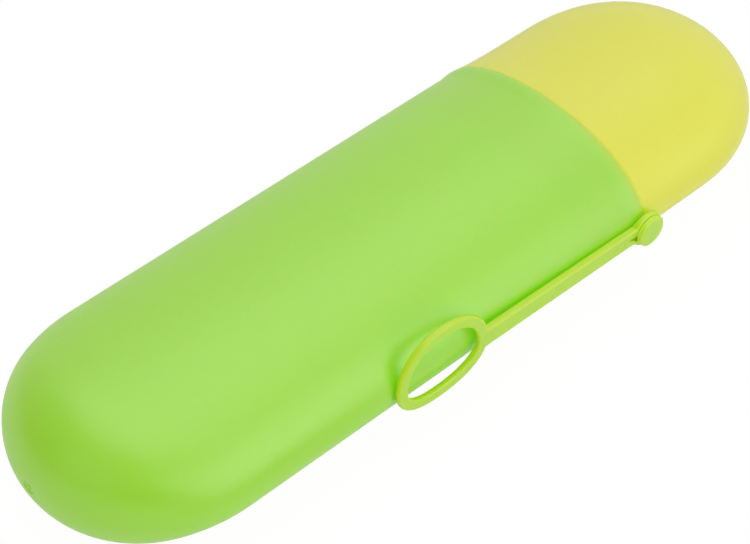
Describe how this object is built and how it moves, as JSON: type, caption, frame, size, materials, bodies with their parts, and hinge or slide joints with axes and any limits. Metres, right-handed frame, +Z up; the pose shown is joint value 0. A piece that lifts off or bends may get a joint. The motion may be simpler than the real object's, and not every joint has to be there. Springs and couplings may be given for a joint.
{
  "type": "toothbrush case",
  "caption": "Oval capsule travel case for a toothbrush: long closed sleeve, pull-off domed cap, and a side strap with a finger ring that turns on a stud.",
  "frame": {"origin": "middle of the case's length and width, on the narrow flat of the underside that it lies on", "axes": "+X along the case towards the cap, +Z up out of the broad top face, strap on the -Y side"},
  "size_m": [0.2049, 0.0676, 0.0339],
  "materials": {
    "sleeve_green": "satin moulded plastic, apple green",
    "cap_yellow": "satin moulded plastic, lemon yellow",
    "strap_lime": "soft flexible moulded plastic, lime green, slightly translucent"
  },
  "bodies": {
    "case": {"body_sleeve": "sleeve_green"},
    "cap": {"end_cap": "cap_yellow", "stud": "strap_lime"},
    "strap": {"strap": "strap_lime"}
  },
  "joints": [
    {"name": "cap_pull", "type": "slide", "parent": "case", "child": "cap", "axis": [1, 0, 0], "range_m": [0, 0.08]},
    {"name": "strap_swing", "type": "hinge", "parent": "cap", "child": "strap", "pos_m": [0.0443, -0.0332, 0.0161], "axis": [0, 1, 0], "continuous": true}
  ]
}
